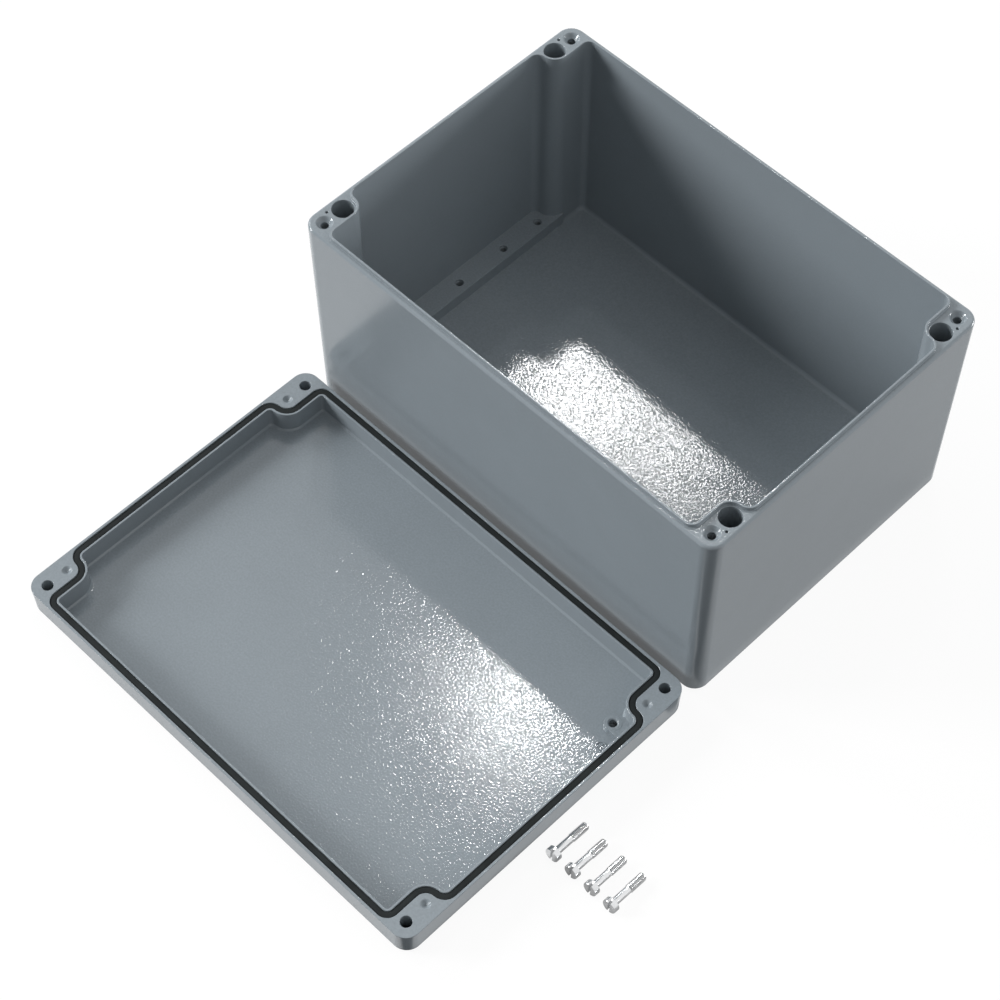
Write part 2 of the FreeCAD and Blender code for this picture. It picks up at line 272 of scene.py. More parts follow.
def merged_copy(node, name):
    """Copy of a CAD node as one closed skin, its flat faces joined up."""
    touching, flat = 0.5e-6, math.radians(0.1)
    skin = bmesh.new()
    skin.from_mesh(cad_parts[node].data)
    bmesh.ops.remove_doubles(skin, verts=skin.verts, dist=touching)
    bmesh.ops.dissolve_limit(skin, angle_limit=flat, verts=skin.verts, edges=skin.edges)
    return plain_object(name, mesh_from(skin, name))


def cut_away(piece, tool_skin):
    """Cuts the forms of one closed skin out of a piece."""
    tool = plain_object("cutter", outward_mesh(tool_skin, "cutter"))
    cut = piece.modifiers.new("cut", "BOOLEAN")
    cut.operation = "DIFFERENCE"
    cut.solver = "EXACT"
    cut.object = tool
    settle(piece)
    discard(tool)


def shade(mesh, angle):
    """Smooth shading that breaks at edges sharper than an angle in degrees."""
    for face in mesh.polygons:
        face.use_smooth = True
    mesh.set_sharp_from_angle(angle=math.radians(angle))


def soften_lips(piece, radius):
    """Rounds every lip of a casting and shades its faces evenly."""
    lip_angle, crease_angle = 24, 50
    lips = piece.modifiers.new("lips", "BEVEL")
    lips.width = radius
    lips.segments = 2
    lips.limit_method = "ANGLE"
    lips.angle_limit = math.radians(lip_angle)
    lips.miter_outer = "MITER_ARC"
    lips.use_clamp_overlap = False
    lips.harden_normals = False
    settle(piece)
    shade(piece.data, crease_angle)
    even = piece.modifiers.new("even", "WEIGHTED_NORMAL")
    even.keep_sharp = True
    even.weight = 100
    settle(piece)


# Node trees


def step(tree, kind, inputs=None, **settings):
    """Adds a node; each input is a socket to link from or a plain value."""
    node = tree.nodes.new(kind)
    for name, value in settings.items():
        setattr(node, name, value)
    for key, value in (inputs or {}).items():
        if isinstance(value, bpy.types.NodeSocket):
            tree.links.new(value, node.inputs[key])
        else:
            node.inputs[key].default_value = value
    return node


def calculate(tree, operation, first, second=0.0, third=0.0):
    """Result of a sum on up to three numbers."""
    node = step(tree, "ShaderNodeMath", {0: first, 1: second, 2: third}, operation=operation)
    return node.outputs[0]


def multiply(tree, first, second):
    """Product of two numbers."""
    return calculate(tree, "MULTIPLY", first, second)


def larger(tree, first, second):
    """Larger one of two numbers."""
    return calculate(tree, "MAXIMUM", first, second)


def add_share(tree, start, value, share):
    """Start number with a share of a value added to it."""
    return calculate(tree, "MULTIPLY_ADD", value, share, start)


def rescale(tree, value, low, high, to_low=0.0, to_high=1.0, smooth=True):
    """Number moved from one range to another."""
    node = step(
        tree,
        "ShaderNodeMapRange",
        {"Value": value, "From Min": low, "From Max": high, "To Min": to_low, "To Max": to_high},
        interpolation_type="SMOOTHSTEP" if smooth else "LINEAR",
    )
    return node.outputs["Result"]


def noise(tree, place, scale, detail=2.0, roughness=0.5):
    """Noise between 0 and 1 in object coordinates."""
    inputs = {"Vector": place, "Scale": scale, "Detail": detail, "Roughness": roughness}
    return step(tree, "ShaderNodeTexNoise", inputs).outputs[0]


def two_tone(tree, value, first, second, low=0.0, high=1.0):
    """Colour that goes from the first to the second while a value goes from low to high."""
    node = step(tree, "ShaderNodeValToRGB", {"Fac": value})
    ends = node.color_ramp.elements
    for end, position, shown in ((ends[0], low, first), (ends[1], high, second)):
        end.position = position
        end.color = (*shown, 1.0)
    return node.outputs["Color"]


def add_bump(tree, shader, surface, strength, height):
    """Roughens a shader's surface; the height is in metres."""
    inputs = {"Strength": strength, "Distance": height, "Height": surface}
    bump = step(tree, "ShaderNodeBump", inputs)
    tree.links.new(bump.outputs["Normal"], shader.inputs["Normal"])


def ray_kinds(tree):
    """(1 for rays that the object mirrors or bends, 1 for rays straight from the camera)."""
    path = tree.nodes.new("ShaderNodeLightPath")
    mirrored = larger(tree, path.outputs["Is Glossy Ray"], path.outputs["Is Transmission Ray"])
    return mirrored, path.outputs["Is Camera Ray"]


def end_with_mix(tree, kind, share, first, second):
    """Ends a tree with two shaders, of which the second one has the share."""
    inputs = {0: share, 1: first.outputs[0], 2: second.outputs[0]}
    mixed = step(tree, "ShaderNodeMixShader", inputs)
    step(tree, kind, {"Surface": mixed.outputs[0]})


# Finishes


def new_finish(name):
    """Empty material with its shader and coordinates: (material, tree, shader, coordinates)."""
    finish = bpy.data.materials.new(name)
    finish.use_nodes = True
    tree = finish.node_tree
    shader = tree.nodes["Principled BSDF"]
    return finish, tree, shader, tree.nodes.new("ShaderNodeTexCoord").outputs


def painted_casting(name, paint):
    """Stoved paint on cast aluminium: smooth walls, hammered floors."""
    finish, tree, shader, where = new_finish(name)
    place = where["Object"]
    height = step(tree, "ShaderNodeSeparateXYZ", {0: place}).outputs["Z"]
    lean = step(tree, "ShaderNodeSeparateXYZ", {0: where["Normal"]}).outputs["Z"]

    # the lean is 1 on faces that look straight up and 0 on walls; lips lie in between
    level = rescale(tree, lean, 0.90, 0.985)
    upright = rescale(tree, lean, 0.5, 0.2)
    lip = multiply(tree, rescale(tree, lean, 0.72, 0.75), rescale(tree, lean, 0.97, 0.92))

    # the hammered look is full on level faces up to 15.5 mm and half as strong above 17.5 mm
    low_down = rescale(tree, height, 0.0175, 0.0155, 0.5, 1.0)
    on_walls, more_on_floors = 0.04, 0.96
    hammer = add_share(tree, on_walls, multiply(tree, level, low_down), more_on_floors)

    # the relief is made of round cells, the creases between them and faint pores
    cell_part, crease_part, pore_part = 1.6, 0.3, 0.10
    cells = noise(tree, place, 780, detail=0.5)
    creases = calculate(tree, "ABSOLUTE", add_share(tree, -1.0, cells, 2.0))
    ridges = add_share(tree, multiply(tree, cells, cell_part), creases, crease_part)
    pores = noise(tree, place, 60, detail=1.0)
    surface = add_share(tree, multiply(tree, ridges, hammer), pores, pore_part)
    add_bump(tree, shader, surface, 1.0, 0.000038)

    # painted highlight and shade: the paint is lighter on the cells' crowns and darker in the
    # hollows between them, and a little darker on level faces, painted shade on faces that look up
    plain, level_shade, blotched = 0.92, -0.08, 0.10
    blotches = noise(tree, place, 18, detail=3.0, roughness=0.6)
    crown_highlight = multiply(tree, cells, add_share(tree, 0.06, level, 0.16))
    cast = add_share(tree, calculate(tree, "ADD", crown_highlight, plain), level, level_shade)
    tone = add_share(tree, cast, blotches, blotched)
    # the colour mix has several sockets of one name, so its colour ones go by number
    tint = step(
        tree,
        "ShaderNodeMix",
        {0: 1.0, 6: (*paint, 1.0), 7: tone},
        data_type="RGBA",
        blend_type="MULTIPLY",
    )
    tree.links.new(tint.outputs[2], shader.inputs["Base Color"])

    on_floors, more_on_walls, where_blotched = 0.065, 0.11, 0.03
    even = add_share(tree, on_floors, upright, more_on_walls)
    matt = add_share(tree, even, blotches, where_blotched)
    tree.links.new(matt, shader.inputs["Roughness"])
    mirror, less_on_lips = 0.5, -0.35
    shine = add_share(tree, mirror, lip, less_on_lips)
    tree.links.new(shine, shader.inputs["Specular IOR Level"])
    shader.inputs["IOR"].default_value = 1.5
    return finish


def gasket_rubber(name, rubber):
    """Matt black rubber with a faint bloom."""
    finish, tree, shader, where = new_finish(name)
    bloomed = [min(1.0, 1.7 * part) for part in rubber]
    bloom = noise(tree, where["Object"], 60, detail=4.0, roughness=0.65)
    shown = two_tone(tree, bloom, rubber, bloomed, 0.35, 0.75)
    tree.links.new(shown, shader.inputs["Base Color"])
    smoothest, grain_part = 0.62, 0.16
    grain = noise(tree, where["Object"], 2400)
    tree.links.new(add_share(tree, smoothest, grain, grain_part), shader.inputs["Roughness"])
    shader.inputs["Specular IOR Level"].default_value = 0.18
    add_bump(tree, shader, grain, 0.5, 0.00003)
    return finish


def screw_steel(name, steel):
    """Bright plated steel with fine turning marks."""
    finish, tree, shader, where = new_finish(name)
    clouded = [0.86 * part for part in steel]
    cloud = noise(tree, where["Object"], 260, detail=3.0)
    tree.links.new(two_tone(tree, cloud, clouded, steel), shader.inputs["Base Color"])
    inputs = {"Vector": where["Object"], "Scale": (1.0, 9.0, 1.0)}
    squashed = step(tree, "ShaderNodeMapping", inputs)
    smoothest, mark_part = 0.10, 0.10
    marks = noise(tree, squashed.outputs[0], 700)
    tree.links.new(add_share(tree, smoothest, marks, mark_part), shader.inputs["Roughness"])
    add_bump(tree, shader, marks, 0.35, 0.00001)
    shader.inputs["Metallic"].default_value = 1.0
    return finish


def finish_for(slot):
    """Material of one of the record's slots, made once."""
    colours = bpy.context.scene.box_colours
    makers = {
        "painted_casting": ("painted casting", painted_casting, colours.casting),
        "gasket_rubber": ("gasket rubber", gasket_rubber, colours.rubber),
        "screw_metal": ("screw steel", screw_steel, colours.steel),
    }
    name, maker, shown = makers[slot]
    return bpy.data.materials.get(name) or maker(name, tuple(shown))


def hand_over(piece, slot, *nodes):
    """Gives a finished piece its material and its place under the root body."""
    piece.data.materials.clear()
    piece.data.materials.append(finish_for(slot))
    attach(piece, "root")
    if nodes:
        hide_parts(*nodes)


# Geometry node trees


def new_tree(name, numbers, vectors=()):
    """Empty geometry tree with its named inputs: (tree, what it is given, output socket)."""
    tree = bpy.data.node_groups.new(name, "GeometryNodeTree")
    sockets = [("Geometry", "NodeSocketGeometry")]
    sockets += [(label, "NodeSocketFloat") for label in numbers]
    sockets += [(label, "NodeSocketVector") for label in vectors]
    sockets += [("Finish", "NodeSocketMaterial")]
    for label, kind in sockets:
        tree.interface.new_socket(label, in_out="INPUT", socket_type=kind)
    tree.interface.new_socket("Geometry", in_out="OUTPUT", socket_type="NodeSocketGeometry")
    given = tree.nodes.new("NodeGroupInput")
    result = tree.nodes.new("NodeGroupOutput")
    return tree, given.outputs, result.inputs[0]


def grow_with(piece, tree, slot, values):
    """Runs a geometry tree on a piece with named values and keeps the result as a plain mesh."""
    growth = piece.modifiers.new(tree.name, "NODES")
    growth.node_group = tree
    named = {**values, "Finish": finish_for(slot)}
    for item in tree.interface.items_tree:
        if item.in_out == "INPUT" and item.name in named:
            growth[item.identifier] = named[item.name]
    settle(piece)


def finish_tree(tree, geometry, given, result):
    """Closes a tree: instances made real, material set."""
    real = step(tree, "GeometryNodeRealizeInstances", {0: geometry})
    inputs = {"Geometry": real.outputs[0], "Material": given["Finish"]}
    shown = step(tree, "GeometryNodeSetMaterial", inputs)
    tree.links.new(shown.outputs[0], result)


def sweep(tree, course, section, closed_ends=False):
    """Form that a section leaves along a course, with the section kept upright."""
    upright = step(tree, "GeometryNodeSetCurveNormal", {"Curve": course}, mode="Z_UP")
    inputs = {"Curve": upright.outputs[0], "Profile Curve": section, "Fill Caps": closed_ends}
    return step(tree, "GeometryNodeCurveToMesh", inputs).outputs[0]


def helix(tree, given, section_turn, points):
    """Thread ridge that winds upwards; its section's turn says to which side the crest points."""
    turns = calculate(tree, "DIVIDE", given["Depth"], given["Pitch"])
    spiral = step(
        tree,
        "GeometryNodeCurveSpiral",
        {
            "Resolution": points,
            "Rotations": turns,
            "Start Radius": given["Root radius"],
            "End Radius": given["Root radius"],
            "Height": given["Depth"],
        },
    )
    inputs = {"Resolution": 3, "Radius": given["Ridge"]}
    section = step(tree, "GeometryNodeCurvePrimitiveCircle", inputs)
    inputs = {"Geometry": section.outputs[0], "Rotation": (0.0, 0.0, section_turn)}
    turned = step(tree, "GeometryNodeTransform", inputs)
    return sweep(tree, spiral.outputs[0], turned.outputs[0], closed_ends=True)


def thread_tree():
    """Tree that winds an internal thread into each hole."""
    numbers = ("Root radius", "Pitch", "Ridge", "Depth")
    tree, given, result = new_tree("hole threads", numbers)
    ridge = helix(tree, given, section_turn=math.pi, points=24)
    inputs = {"Points": given["Geometry"], "Instance": ridge}
    lined = step(tree, "GeometryNodeInstanceOnPoints", inputs)
    finish_tree(tree, lined.outputs[0], given, result)
    return tree


def screw_tree():
    """Tree that winds the thread round a turned screw and lays the screw down."""
    numbers = ("Root radius", "Pitch", "Ridge", "Depth", "Start")
    tree, given, result = new_tree("captive screw", numbers, ("Place", "Turn"))
    ridge = helix(tree, given, section_turn=0.0, points=32)
    start = step(tree, "ShaderNodeCombineXYZ", {"Z": given["Start"]})
    inputs = {"Geometry": ridge, "Translation": start.outputs[0]}
    raised = step(tree, "GeometryNodeTransform", inputs)
    whole = step(tree, "GeometryNodeJoinGeometry")
    tree.links.new(raised.outputs[0], whole.inputs[0])
    tree.links.new(given["Geometry"], whole.inputs[0])
    inputs = {
        "Geometry": whole.outputs[0],
        "Translation": given["Place"],
        "Rotation": given["Turn"],
    }
    laid = step(tree, "GeometryNodeTransform", inputs)
    finish_tree(tree, laid.outputs[0], given, result)
    return tree


def gasket_tree():
    """Tree that sweeps a rounded section along a closed course."""
    tree, given, result = new_tree("endless gasket", ("Width", "Height", "Corner"))
    course = step(tree, "GeometryNodeMeshToCurve", {"Mesh": given["Geometry"]})
    inputs = {"Width": given["Width"], "Height": given["Height"]}
    section = step(tree, "GeometryNodeCurvePrimitiveQuadrilateral", inputs, mode="RECTANGLE")
    inputs = {"Curve": section.outputs[0], "Radius": given["Corner"], "Count": 3}
    rounded = step(tree, "GeometryNodeFilletCurve", inputs, mode="POLY")
    strip = sweep(tree, course.outputs[0], rounded.outputs[0])
    smooth = step(tree, "GeometryNodeSetShadeSmooth", {"Geometry": strip})
    finish_tree(tree, smooth.outputs[0], given, result)
    return tree


# Places taken from the CAD parts


def node_middle(node):
    """(middle of a node's plan at height 0, its half length, its half width)."""
    low, high = (Vector(corner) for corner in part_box(node))
    middle = (low + high) / 2
    return Vector((middle.x, middle.y, 0.0)), (high.x - low.x) / 2, (high.y - low.y) / 2


def rim_height():
    """Height of the base's rim, from which its tongue stands up."""
    tongue = 2.6 * MM
    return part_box("base_box")[1][2] - tongue


def corner_places(node, inset_x, inset_y, height):
    """Four places at one inset from each outer face of a casting."""
    middle, half_x, half_y = node_middle(node)
    return [
        middle + Vector((sx * (half_x - inset_x), sy * (half_y - inset_y), height))
        for sx, sy in CORNERS
    ]


def lid_screw_places(height):
    """Places of the four lid screws' threads in the base."""
    inset = bpy.context.scene.box_castings.screw_inset
    return corner_places("base_box", inset, inset, height)


def rail_places(height):
    """Places of the ten threads in the two mounting rails."""
    row = bpy.context.scene.box_castings.rail_row
    near, far = 40.5 * MM, 72.5 * MM
    return [
        Vector((side * row, along, height))
        for side in (-1, 1)
        for along in (0, near, -near, far, -far)
    ]


def earth_place(height):
    """Place on the axis of the lid's earth thread."""
    sizes = bpy.context.scene.box_castings
    return node_middle("lid")[0] + Vector((sizes.earth_x, sizes.earth_y, height))


# Operators


class BOX_OT_stage(bpy.types.Operator):
    """Set up the floor, the light and the camera"""

    bl_idname = "box.stage"
    bl_label = "Stage"

    # name, level and its share, azimuth, elevation and roll in degrees, width and height in metres
    SOFTBOXES = (
        ("back softbox", "back", 0.23, 131.6, 53.0, -40, (0.42, 0.40)),
        ("weak back softbox", "back", 0.08, 126.8, 54.4, -40, (0.25, 0.25)),
        ("high back softbox", "back", 0.215, 133.4, 60.7, -40, (0.25, 0.27)),
        ("left softbox", "left", 1.0, 219, 21, 0, (3.0, 4.0)),
        ("right softbox", "right", 1.0, 54, 6, 0, (4.0, 1.4)),
        ("fill softbox", "fill", 1.0, 186, 28, 0, (3.0, 2.6)),
    )
    # sides of the patches of painted dark reflection and painted shade, which only mirror images
    # show: axis, where the floor is still bare, where it is covered, in metres
    DARK_REFLECTION_PATCHES = {
        "before base": (("X", 0.164, 0.168), ("Y", -0.085, -0.125), ("Y", -0.235, -0.205)),
        "before lid": (("X", 0.156, 0.160), ("Y", -0.342, -0.346)),
        "gap beside lid": (("X", 0.177, 0.174), ("Y", -0.130, -0.134), ("Y", -0.346, -0.342)),
        "under lid": (
            ("X", -0.168, -0.164),
            ("Y", -0.350, -0.346),
            ("Y", -0.120, -0.124),
            ("X", 0.165, 0.161),
        ),
        "right": (("X", 0.164, 0.168),),
        "screws": (("X", 0.177, 0.181), ("Y", -0.215, -0.245)),
    }

    def execute(self, context):
        scene = context.scene
        scene.view_settings.view_transform = "Standard"
        levels = scene.box_stage
        self.lay_floor()
        self.light_world(scene, levels.surround)
        for name, level, share, azimuth, elevation, roll, size in self.SOFTBOXES:
            power = getattr(levels, level) * share
            self.hang_softbox(name, power, azimuth, elevation, roll, size)
        self.place_camera(scene, levels.lens)
        return {"FINISHED"}

    def lay_floor(self):
        """White floor that keeps the object's shadow; its patches of painted dark reflection and
        painted shade show only in mirror images.
        """
        reach, sunk = 6.0, 0.2 * MM
        skin = bmesh.new()
        bmesh.ops.create_grid(skin, x_segments=1, y_segments=1, size=reach)
        floor = plain_object("studio_floor", outward_mesh(skin, "studio_floor"))
        floor.data.transform(Matrix.Translation((0, 0, -sunk)))
        paper = bpy.data.materials.new("white paper")
        paper.use_nodes = True
        tree = paper.node_tree
        tree.nodes.clear()
        place = tree.nodes.new("ShaderNodeTexCoord").outputs["Object"]
        mirrored, seen = ray_kinds(tree)
        # painted reflection: in mirror images the floor is darkened beside the base, in front of
        # the lid and by the screws, and painted shade darkens it under the lid
        dark_patches = multiply(tree, mirrored, self.painted_dark_reflection(tree, place))

        # light that bounces off the floor sees it darker than the camera and mirror images do
        bounced, more_when_shown, less_on_dark_patches, fibrous = 0.22, 0.74, -0.9, 0.02
        pale = add_share(tree, bounced, larger(tree, mirrored, seen), more_when_shown)
        carded = add_share(tree, pale, dark_patches, less_on_dark_patches)
        fibre = noise(tree, place, 40, detail=3.0)
        tone = add_share(tree, carded, fibre, fibrous)
        matt = step(tree, "ShaderNodeBsdfDiffuse", {"Color": tone})

        # what is shown of the floor also glows, so that it is white
        glow_mirrored, glow_seen = 0.55, 0.92
        glow = step(tree, "ShaderNodeEmission", {"Color": WHITE, "Strength": 1.0})
        bare = multiply(tree, calculate(tree, "SUBTRACT", mirrored, dark_patches), glow_mirrored)
        share = calculate(tree, "ADD", bare, multiply(tree, seen, glow_seen))
        end_with_mix(tree, "ShaderNodeOutputMaterial", share, matt, glow)
        floor.data.materials.append(paper)

    def painted_dark_reflection(self, tree, place):
        """Share of painted dark reflection at a place on the floor, with painted shade under the
        lid.
        """
        grey_right, grey_screws = 0.42, 0.30
        spot = step(tree, "ShaderNodeSeparateXYZ", {0: place}).outputs
        dark_patches = {name: self.dark_patch(tree, spot, sides) for name, sides in self.DARK_REFLECTION_PATCHES.items()}
        right = multiply(tree, dark_patches["right"], grey_right)
        grey = add_share(tree, right, dark_patches["screws"], grey_screws)
        beside = larger(tree, dark_patches["before base"], grey)
        clear = calculate(tree, "SUBTRACT", 1.0, dark_patches["gap beside lid"])
        in_front = larger(tree, multiply(tree, beside, clear), dark_patches["before lid"])
        return larger(tree, in_front, dark_patches["under lid"])

    def dark_patch(self, tree, spot, sides):
        """Share of one patch of painted dark reflection, which lies where all its sides say so."""
        whole = None
        for axis, bare, covered in sides:
            share = rescale(tree, spot[axis], bare, covered)
            whole = share if whole is None else multiply(tree, whole, share)
        return whole

    def light_world(self, scene, surround):
        """Soft surround, white where the camera looks past the floor."""
        dark, bright_side = (0.08, 0.083, 0.086), (0.42, 0.70, 0.52)
        world = bpy.data.worlds.new("studio")
        world.use_nodes = True
        tree = world.node_tree
        tree.nodes.clear()
        way = tree.nodes.new("ShaderNodeTexCoord").outputs["Generated"]
        side = step(tree, "ShaderNodeVectorMath", {0: way, 1: bright_side}, operation="DOT_PRODUCT")
        bright = rescale(tree, side.outputs["Value"], -1.0, 1.0, smooth=False)
        dome = two_tone(tree, bright, dark, WHITE[:3], 0.3, 0.85)
        soft = step(tree, "ShaderNodeBackground", {"Color": dome, "Strength": surround})
        white = step(tree, "ShaderNodeBackground", {"Color": WHITE, "Strength": 1.0})

        # mirror images see the world brighter behind the object than in front of it
        mirrored, seen = ray_kinds(tree)
        deep = step(tree, "ShaderNodeSeparateXYZ", {0: way}).outputs["Y"]
        behind = multiply(tree, mirrored, rescale(tree, deep, -0.15, 0.38, 0.05, 0.5))
        share = calculate(tree, "ADD", behind, seen)
        end_with_mix(tree, "ShaderNodeOutputWorld", share, soft, white)
        scene.world = world

    def hang_softbox(self, name, power, azimuth, elevation, roll, size):
        """Rectangular softbox far off in a direction, turned towards the object."""
        aim, distance = Vector((0.0, -0.12, 0.05)), 9.0
        lamp = bpy.data.lights.new(name, "AREA")
        lamp.shape = "RECTANGLE"
        lamp.size, lamp.size_y = size
        lamp.energy = power
        turn, rise, twist = (math.radians(angle) for angle in (azimuth, elevation, roll))
        level = math.cos(rise)
        out = Vector((math.cos(turn) * level, math.sin(turn) * level, math.sin(rise)))
        hung = bpy.data.objects.new(name, lamp)
        hung.location = aim + out * distance
        hung.rotation_mode = "QUATERNION"
        hung.rotation_quaternion = out.to_track_quat("Z", "Y") @ Quaternion((0, 0, 1), twist)
        bpy.context.scene.collection.objects.link(hung)

    def place_camera(self, scene, lens):
        """Camera at the angle of the product picture."""
        data = bpy.data.cameras.new("camera")
        data.sensor_width = 36.0
        data.lens = lens
        data.shift_x = 0.0041
        data.shift_y = -0.0269
        data.clip_end = 30.0
        camera = bpy.data.objects.new("camera", data)
        stand = Vector((0.6350, -0.7514, 1.3812))
        target = Vector((-0.033809, -0.082808, 0.0))
        camera.location = stand
        camera.rotation_mode = "QUATERNION"
        camera.rotation_quaternion = (target - stand).to_track_quat("-Z", "Y")
        scene.collection.objects.link(camera)
        scene.camera = camera


class BOX_OT_base_casting(bpy.types.Operator):
    """Finish the base casting: pin marks, thread roots, counterbores and soft lips"""

    bl_idname = "box.base_casting"
    bl_label = "Base casting"

    def execute(self, context):
        sizes = context.scene.box_castings
        threads = context.scene.box_threads
        piece = merged_copy("base_box", "base_casting")
        rim = rim_height()
        self.open_funnels(piece.data, rim)
        skin = bmesh.new()

        radius, depth = sizes.mark_radius, sizes.mark_depth
        profile = [(0.3 * radius, -depth), (radius, -0.9 * depth), (radius, MM)]
        for spot in corner_places("base_box", sizes.mark_inset_x, sizes.mark_inset_y, rim):
            turn_profile(skin, profile, spot, segments=20)

        root = threads.lid_root
        end, shoulder, mouth = -25 * MM, -24.6 * MM, -4.5 * MM
        profile = [(0.9 * root, end), (root, shoulder), (root, mouth)]
        for spot in lid_screw_places(rim):
            turn_profile(skin, profile, spot, segments=40)

        root, end, mouth = threads.rail_root, -8.4 * MM, -3.0 * MM
        sink, foot, top, taper = sizes.rail_sink, -2.0 * MM, 0.3 * MM, 0.15 * MM
        for spot in rail_places(sizes.rail_top):
            turn_profile(skin, [(root, end), (root, mouth)], spot, segments=32)
            turn_profile(skin, [(sink - taper, foot), (sink, top)], spot, segments=32)

        cut_away(piece, skin)
        soften_lips(piece, sizes.lip_radius)
        hand_over(piece, "painted_casting", "base_box")
        return {"FINISHED"}

    def open_funnels(self, mesh, rim):
        """Raises the foot of the funnels at the lid screws, so that they open at 90 degrees."""
        foot, lift = rim - 3.4 * MM, 0.7 * MM
        bore, slack = 2.6 * MM, 0.05 * MM
        moved = 0
        for axis in lid_screw_places(foot):
            for point in mesh.vertices:
                gap = point.co - axis
                if abs(gap.z) < slack and gap.xy.length < bore:
                    point.co.z += lift
                    moved += 1
        if not moved:
            raise RuntimeError("no funnel found at the lid screws")


class BOX_OT_lid_casting(bpy.types.Operator):
    """Finish the lid casting: conical dimples, earth thread root and soft lips"""

    bl_idname = "box.lid_casting"
    bl_label = "Lid casting"

    def execute(self, context):
        sizes = context.scene.box_castings
        piece = merged_copy("lid", "lid_casting")
        skin = bmesh.new()

        mouth, deep, above = sizes.dimple_mouth, sizes.dimple_depth, 0.2 * MM
        tip = 0.1 * mouth
        slope = (mouth - tip) / deep
        profile = [(tip, -deep), (mouth + slope * above, above)]
        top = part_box("lid")[1][2]
        for spot in corner_places("lid", sizes.screw_inset, sizes.bore_inset, top):
            turn_profile(skin, profile, spot, segments=32)

        root, end, mouth = context.scene.box_threads.lid_root, -6 * MM, -1.7 * MM
        chamfer = [(2.2 * MM, -MM), (3.5 * MM, 0.3 * MM)]
        boss = earth_place(sizes.earth_top)
        turn_profile(skin, [(root, end), (root, mouth)], boss, segments=32)
        turn_profile(skin, chamfer, boss, segments=32)

        cut_away(piece, skin)
        soften_lips(piece, sizes.lip_radius)
        hand_over(piece, "painted_casting", "lid")
        return {"FINISHED"}


class BOX_OT_hole_threads(bpy.types.Operator):
    """Wind the threads into the lid screw holes, the rails and the earth boss"""

    bl_idname = "box.hole_threads"
    bl_label = "Hole threads"

    def execute(self, context):
        threads = context.scene.box_threads
        large = (threads.lid_root, threads.lid_pitch)
        small = (threads.rail_root, threads.rail_pitch)
        screw_foot, screw_depth = rim_height() - 24.4 * MM, 19.4 * MM
        rail_foot, rail_depth = context.scene.box_castings.rail_top - 8 * MM, 4.7 * MM
        earth_foot, earth_depth = 2.8 * MM, 3.7 * MM
        holes = (
            ("lid_screw_threads", lid_screw_places(screw_foot), large, screw_depth),
            ("rail_threads", rail_places(rail_foot), small, rail_depth),
            ("earth_thread", [earth_place(earth_foot)], large, earth_depth),
        )
        tree = thread_tree()
        for name, places, (root, pitch), depth in holes:
            piece = points_object(name, places)
            values = {"Root radius": root, "Pitch": pitch, "Ridge": 0.5 * pitch, "Depth": depth}
            grow_with(piece, tree, "painted_casting", values)
            hand_over(piece, "painted_casting")
        return {"FINISHED"}


class BOX_OT_earth_web(bpy.types.Operator):
    """Fill the corner between the earth boss and the lid's rib with a web"""

    bl_idname = "box.earth_web"
    bl_label = "Earth web"

    def execute(self, context):
        sizes = context.scene.box_castings
        gasket = context.scene.box_gasket
        middle, half_x, half_y = node_middle("lid")
        rib, foot, top = 2.1 * MM, 3.8 * MM, 8.4 * MM
        # the outline runs along the rib, round the bore's rib and through the boss
        outer, inner, past_boss = 5.3 * MM, 4.2 * MM, 1.5 * MM
        boss = Vector((sizes.earth_x, sizes.earth_y))
        bore = Vector((half_x - gasket.bore_inset_x, half_y - sizes.bore_inset))
        wall = half_x - gasket.wall - rib
        outline = [
            Vector((boss.x, boss.y - outer)),
            Vector((wall, boss.y - outer)),
            Vector((wall, boss.y + past_boss)),
        ]
        cover = gasket.bore_cover + rib
        outline += [self.around(bore, cover, angle) for angle in (-90, -100, -110, -118, -125)]
        outline += [self.around(boss, outer, 95)]
        outline += [self.around(boss, inner, angle) for angle in (90, 45, 0, -45)]
        skin = bmesh.new()
        lower, upper = (
            [skin.verts.new((*(spot + middle.xy), height)) for spot in outline]
            for height in (foot, top)
        )
        skin.faces.new(lower[::-1])
        skin.faces.new(upper)
        join_rings(skin, lower, upper)
        piece = plain_object("earth_web", outward_mesh(skin, "earth_web"))
        soften_lips(piece, sizes.lip_radius)
        hand_over(piece, "painted_casting")
        return {"FINISHED"}

    def around(self, centre, radius, angle):
        """Point of a circle at an angle in degrees."""
        turn = math.radians(angle)
        return centre + radius * Vector((math.cos(turn), math.sin(turn)))


class BOX_OT_earth_mark(bpy.types.Operator):
    """Raise the earth mark beside the earth boss"""

    bl_idname = "box.earth_mark"
    bl_label = "Earth mark"

    def execute(self, context):
        along, across, foot = 149.5 * MM, 57.2 * MM, 3.9 * MM
        outer, inner, tall, flank = 3.1 * MM, 2.65 * MM, 0.55 * MM, 0.15 * MM
        spot = node_middle("lid")[0] + Vector((along, across, foot))
        skin = bmesh.new()
        section = ((outer + flank, 0), (outer, tall), (inner, tall), (inner - flank, 0))
        rings = [add_ring(skin, spot, radius, height, segments=48) for radius, height in section]
        for first, second in zip(rings, rings[1:] + rings[:1]):
            join_rings(skin, first, second)

        # the upright stroke, then the three bars, each (half its length, its place)
        half, low, high = 0.21 * MM, 0.1 * MM, 2.0 * MM
        add_block(skin, (-half, low, 0), (half, high, tall), spot)
        for reach, place in ((1.6 * MM, 0.0), (MM, -0.7 * MM), (0.45 * MM, -1.4 * MM)):
            add_block(skin, (-reach, place - half, 0), (reach, place + half, tall), spot)
        piece = plain_object("earth_mark", outward_mesh(skin, "earth_mark"))
        shade(piece.data, 40)
        hand_over(piece, "painted_casting")
        return {"FINISHED"}


